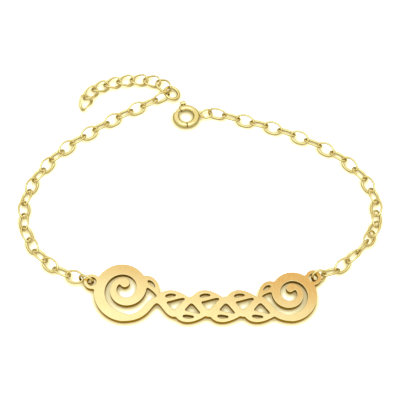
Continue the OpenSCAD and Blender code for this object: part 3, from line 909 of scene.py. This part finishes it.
class BRACELET_OT_clasp_body(Operator):
    """Makes the spring ring's hollow tube with its slot, seam mark and soldered loop"""
    bl_idname = "bracelet.clasp_body"
    bl_label = "Clasp body"

    def execute(self, context):
        settings = context.scene.bracelet
        clasp = settings.clasp
        centre, radius, bore = clasp_sizes(clasp)
        seam = (clasp.seam_at, clasp.seam_w / 2 / radius, clasp.seam_deep)
        shell = hollow_tube(centre, radius, clasp.mouth_to, clasp.mouth_from + 2 * math.pi,
                            clasp.tube_d / 2, bore, clasp.wall * clasp.lip, seam)
        half = clasp.stem_d / 2 + clasp.slot_play
        slot = slot_block(centre, clasp.knob_at - clasp.travel - half / radius,
                          clasp.mouth_from + SLOT_PAST, radius, radius + clasp.tube_d, half)
        path, foot, tilt = tail_path(clasp, centre)
        wire, up = clasp.tail_wire / 2, tilt @ UP
        loop = tube(path, [wire] * len(path), WIRE_SIDES, up)
        drop = lathe([(along * wire, r * wire) for along, r in SOLDER], foot, tilt @ ACROSS, up,
                     WIRE_SIDES)
        mesh = joined("clasp_spring_ring",
                      cut(mesh_of("clasp_tube", shell), mesh_of("clasp_slot", slot)),
                      mesh_of("clasp_loop", loop, drop))
        show(mesh, "bracelet", "clasp_gold", gold("clasp gold", clasp, settings.polish),
             "clasp_body")
        return {"FINISHED"}


class BRACELET_OT_clasp_trigger(Operator):
    """Makes the tongue that closes the mouth, with its stem and thumb knob"""
    bl_idname = "bracelet.clasp_trigger"
    bl_label = "Clasp trigger"

    def execute(self, context):
        settings = context.scene.bracelet
        clasp = settings.clasp
        centre, radius, bore = clasp_sizes(clasp)
        path = arc_path(centre, radius, clasp.knob_at - TONGUE_PAST,
                        clasp.mouth_from + clasp.travel, TONGUE_STEPS)
        rod = tube(path, [(bore - clasp.play) * r for r in blunt_ends(TONGUE_STEPS)],
                   TONGUE_SIDES)
        out = round_ring(Vector(), clasp.knob_at, 1.0)
        knob_r = (clasp.knob_h - clasp.stem_bare) / 2
        stem_from = round_ring(centre, clasp.knob_at, radius)
        knob_middle = round_ring(centre, clasp.knob_at, clasp.ring_d / 2 + clasp.knob_h - knob_r)
        stem_r, stem_l = clasp.stem_d / 2, (knob_middle - stem_from).length
        stem = lathe([(0.0, 0.0), (0.0, stem_r), (stem_l, stem_r), (stem_l, 0.0)], stem_from,
                     out, UP, WIRE_SIDES)
        barrel = barrel_profile(clasp.knob_w / 2, knob_r, knob_r * clasp.knob_round)
        knob = lathe(barrel, knob_middle, UP.cross(out), UP, KNOB_SIDES)
        show(mesh_of("clasp_tongue", rod, stem, knob), "trigger", "clasp_gold",
             gold("clasp gold", clasp, settings.polish), "clasp_trigger")
        return {"FINISHED"}


# Stage

def light_box(stage):
    """The cool soft light over the bracelet. The plate mirrors its back edge, a little turned."""
    data = bpy.data.lights.new("top_softbox", "AREA")
    data.shape, data.size, data.size_y = "RECTANGLE", stage.box_wide, stage.box_deep
    data.energy, data.color = stage.box_power, stage.box_colour
    lamp = linked("top_softbox", data)
    lamp.location = (0.0, -stage.box_ahead, stage.box_high)
    lamp.rotation_euler.z = -stage.box_turn
    lamp.visible_camera = False


def studio_world(stage):
    """A soft dome, even and white for the floor, and darker towards the horizon in the metal."""
    world = bpy.data.worlds.new("studio")
    bpy.context.scene.world = world
    world.use_nodes = True
    web = Web(world.node_tree)
    place = web.add("ShaderNodeTexCoord").outputs["Generated"]
    height = web.add("ShaderNodeSeparateXYZ", {0: place}).outputs["Z"]
    above = web.ramp(height, 0.0, stage.horizon_top)
    dome = web.blend(above, rgba(stage.horizon_colour), rgba(stage.dome_colour))
    aim = (0.0, math.sin(stage.warm_tilt), math.cos(stage.warm_tilt))
    towards = web.add("ShaderNodeVectorMath", {0: place, 1: aim}, operation="DOT_PRODUCT")
    warm = web.ramp(towards.outputs["Value"], math.cos(stage.warm_reach * WARM_FADE),
                    math.cos(stage.warm_reach))
    dome = web.blend(warm, dome, rgba(stage.warm_colour))
    mirrored = web.add("ShaderNodeLightPath").outputs["Is Glossy Ray"]
    shown = web.blend(mirrored, rgba([stage.floor_light] * 3), dome)
    back = web.add("ShaderNodeBackground", {"Color": shown})
    web.add("ShaderNodeOutputWorld", {"Surface": back.outputs[0]})


def floor_material(stage):
    """The pale floor, with a painted warm glow and a painted contact shadow near the metal, and
    darker where the metal mirrors it.
    """
    material = bpy.data.materials.new("pale floor")
    material.use_nodes = True
    web = Web(material.node_tree)
    sky = web.add("ShaderNodeAmbientOcclusion", {"Distance": stage.glow_and_shadow_reach},
                  samples=FLOOR_RAYS).outputs["AO"]
    # Painted light and shade: the floor turns to the warm glow near the metal and to the contact
    # shadow right at it, in its colour and in its emission.
    tint = web.blend(web.ramp(sky, GLOW_STARTS, GLOW_FULL), rgba(stage.floor_colour),
                     rgba(stage.painted_glow_colour))
    tint = web.blend(web.ramp(sky, CONTACT_STARTS, CONTACT_FULL), tint,
                     rgba(stage.contact_shadow_colour))
    mirrored = web.add("ShaderNodeLightPath").outputs["Is Glossy Ray"]
    shader = web.add("ShaderNodeBsdfPrincipled", {
        "Base Color": web.blend(mirrored, tint, rgba(stage.mirrored_floor)),
        "Roughness": stage.floor_roughness,
        "Emission Color": web.blend(mirrored, tint, BLACK),
        "Emission Strength": stage.under_light})
    web.add("ShaderNodeOutputMaterial", {"Surface": shader.outputs[0]})
    return material


def floor_mesh(stage):
    """The square floor that the bracelet lies on."""
    half = stage.floor_half
    mesh = bpy.data.meshes.new("floor")
    mesh.from_pydata([(-half, -half, 0), (half, -half, 0), (half, half, 0), (-half, half, 0)],
                     [], [(0, 1, 2, 3)])
    mesh.materials.append(floor_material(stage))
    return mesh


def front_camera(stage):
    """The camera in front of the bracelet, at the photograph's angle."""
    data = bpy.data.cameras.new("camera")
    data.lens, data.sensor_width = stage.lens, SENSOR
    data.clip_start, data.clip_end = SEEN_FROM, SEEN_TO
    camera = linked("camera", data)
    camera.location = (0.0, stage.aim_y - stage.distance * math.cos(stage.elevation),
                       stage.distance * math.sin(stage.elevation))
    camera.rotation_euler.x = math.pi / 2 - stage.elevation
    return camera


class BRACELET_OT_stage(Operator):
    """Sets the pale floor, the soft studio light and the camera at the photograph's angle"""
    bl_idname = "bracelet.stage"
    bl_label = "Stage"

    def execute(self, context):
        stage = context.scene.bracelet.stage
        linked("floor", floor_mesh(stage))
        studio_world(stage)
        light_box(stage)
        context.scene.camera = front_camera(stage)
        context.scene.view_settings.view_transform = "Standard"
        return {"FINISHED"}


# Panel and registration

class BRACELET_PT_panel(Panel):
    """Lists the bracelet's makers, each with its settings"""
    bl_idname = "BRACELET_PT_panel"
    bl_label = "Nameplate Bracelet"
    bl_space_type = "VIEW_3D"
    bl_region_type = "UI"
    bl_category = "Bracelet"

    def draw(self, context):
        for part, operators in MAKERS.items():
            box = self.layout.box()
            box.label(text=part.title())
            for operator in operators:
                box.operator(operator.bl_idname)
            group = getattr(context.scene.bracelet, part)
            for name in group.__annotations__:
                box.prop(group, name)


MAKERS = {
    "plate": (BRACELET_OT_nameplate,),
    "rings": (BRACELET_OT_rings,),
    "links": (BRACELET_OT_chains,),
    "curb": (BRACELET_OT_extender,),
    "clasp": (BRACELET_OT_clasp_body, BRACELET_OT_clasp_trigger),
    "polish": (),
    "stage": (BRACELET_OT_stage,),
}
CLASSES = (PlateSettings, RingSettings, LinkSettings, CurbSettings, ClaspSettings,
           PolishSettings, StageSettings, BraceletSettings,
           *(operator for operators in MAKERS.values() for operator in operators),
           BRACELET_PT_panel)


def register():
    for cls in CLASSES:
        bpy.utils.register_class(cls)
    Scene.bracelet = PointerProperty(type=BraceletSettings)


def unregister():
    del Scene.bracelet
    for cls in reversed(CLASSES):
        bpy.utils.unregister_class(cls)


def main():
    register()
    bpy.ops.bracelet.nameplate()
    bpy.ops.bracelet.rings()
    bpy.ops.bracelet.chains()
    bpy.ops.bracelet.extender()
    bpy.ops.bracelet.clasp_body()
    bpy.ops.bracelet.clasp_trigger()
    bpy.ops.bracelet.stage()


if __name__ == "__main__":
    main()
